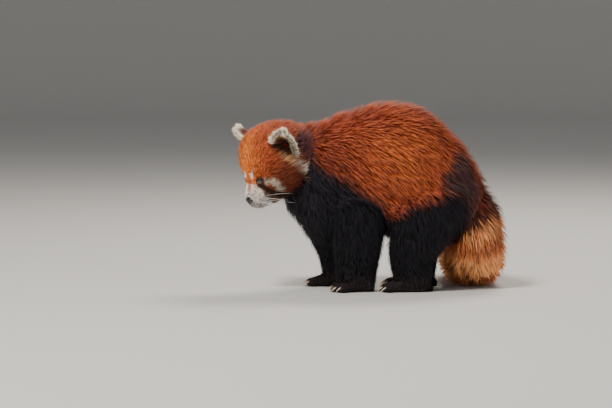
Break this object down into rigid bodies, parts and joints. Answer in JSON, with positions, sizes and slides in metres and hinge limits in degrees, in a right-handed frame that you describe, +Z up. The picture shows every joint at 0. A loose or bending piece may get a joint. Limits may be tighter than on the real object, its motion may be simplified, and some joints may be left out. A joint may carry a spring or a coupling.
{
  "type": "red panda",
  "caption": "Life-size still model of a red panda standing on all fours, head lowered and turned to its left, tail laid behind.",
  "frame": {"origin": "middle of the whole animal's box, on the floor that the four soles and the tail rest on", "axes": "+X from the head towards the rump, so the animal faces -X; +Y to its right side; +Z up"},
  "size_m": [0.4838, 0.4248, 0.3333],
  "materials": {
    "red_coat": "rust-red fur, matt",
    "orange_coat": "orange fur, matt",
    "black_coat": "blue-black fur, soft sheen",
    "tail_coat": "orange fur in pale and dark bands",
    "pale_coat": "white and buff fur",
    "eye_black": "wet dark brown eye",
    "nose_black": "black, finely pebbled, slightly moist"
  },
  "bodies": {
    "root": {"head": "orange_coat", "nose": "nose_black", "eye_left": "eye_black", "eye_right": "eye_black", "ear_left": "pale_coat", "ear_right": "pale_coat", "neck": "red_coat", "torso": "red_coat", "foreleg_left": "black_coat", "foreleg_right": "black_coat", "hindleg_left": "black_coat", "hindleg_right": "black_coat", "forepaw_left": "black_coat", "forepaw_right": "black_coat", "hindpaw_left": "black_coat", "hindpaw_right": "black_coat", "tail_base": "tail_coat", "tail_mid": "tail_coat", "tail_tip": "tail_coat"}
  },
  "joints": []
}
